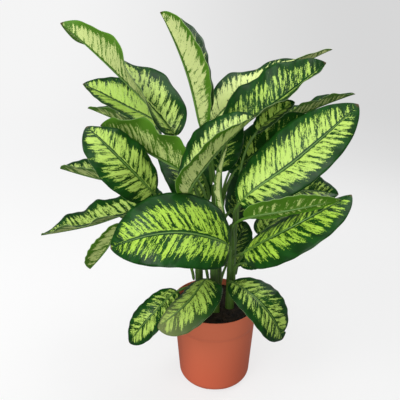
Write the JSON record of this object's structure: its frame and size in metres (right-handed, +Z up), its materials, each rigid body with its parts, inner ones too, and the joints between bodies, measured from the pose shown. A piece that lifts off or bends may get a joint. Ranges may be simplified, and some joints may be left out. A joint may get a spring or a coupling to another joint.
{
  "type": "potted dieffenbachia",
  "caption": "Bushy foliage houseplant with broad, folded, cream-and-green variegated leaves on pale green canes, growing in a tapered terracotta-coloured plastic pot.",
  "frame": {"origin": "centre of the pot's foot, on the floor", "axes": "+Z up; -Y is the front of the plant, +X is to the viewer's right"},
  "size_m": [0.7476, 0.5494, 0.8763],
  "materials": {
    "pot_plastic": "matt moulded terracotta-coloured plastic",
    "potting_soil": "dark crumbly potting soil",
    "cane_skin": "smooth pale green plant skin",
    "leaf_skin": "satin leaf, dark green with lime and cream streaks"
  },
  "bodies": {
    "root": {"pot": "pot_plastic", "soil": "potting_soil", "cane_front": "cane_skin", "cane_right": "cane_skin", "cane_back": "cane_skin", "cane_left": "cane_skin", "leaf_back_left": "leaf_skin", "leaf_back_low": "leaf_skin", "leaf_back_right": "leaf_skin", "leaf_broad_left": "leaf_skin", "leaf_broad_right": "leaf_skin", "leaf_cream_right": "leaf_skin", "leaf_draped_right": "leaf_skin", "leaf_far_right": "leaf_skin", "leaf_front_skirt": "leaf_skin", "leaf_furled": "leaf_skin", "leaf_great_front": "leaf_skin", "leaf_great_right": "leaf_skin", "leaf_hanging_left": "leaf_skin", "leaf_left_skirt": "leaf_skin", "leaf_little_right": "leaf_skin", "leaf_low_left": "leaf_skin", "leaf_low_left_rear": "leaf_skin", "leaf_low_right_rear": "leaf_skin", "leaf_pale_centre": "leaf_skin", "leaf_rear_right": "leaf_skin", "leaf_right_skirt": "leaf_skin", "leaf_shaded_right": "leaf_skin", "leaf_side_left": "leaf_skin", "leaf_small_right": "leaf_skin", "leaf_spire": "leaf_skin", "leaf_tall_left": "leaf_skin", "leaf_upper_left": "leaf_skin", "leaf_upper_left_rear": "leaf_skin", "leaf_upper_right": "leaf_skin", "leaf_wavy_left": "leaf_skin", "leaf_inner_high": "leaf_skin", "leaf_inner_low": "leaf_skin", "leaf_inner_right": "leaf_skin", "leaf_tucked_left": "leaf_skin"}
  },
  "joints": []
}
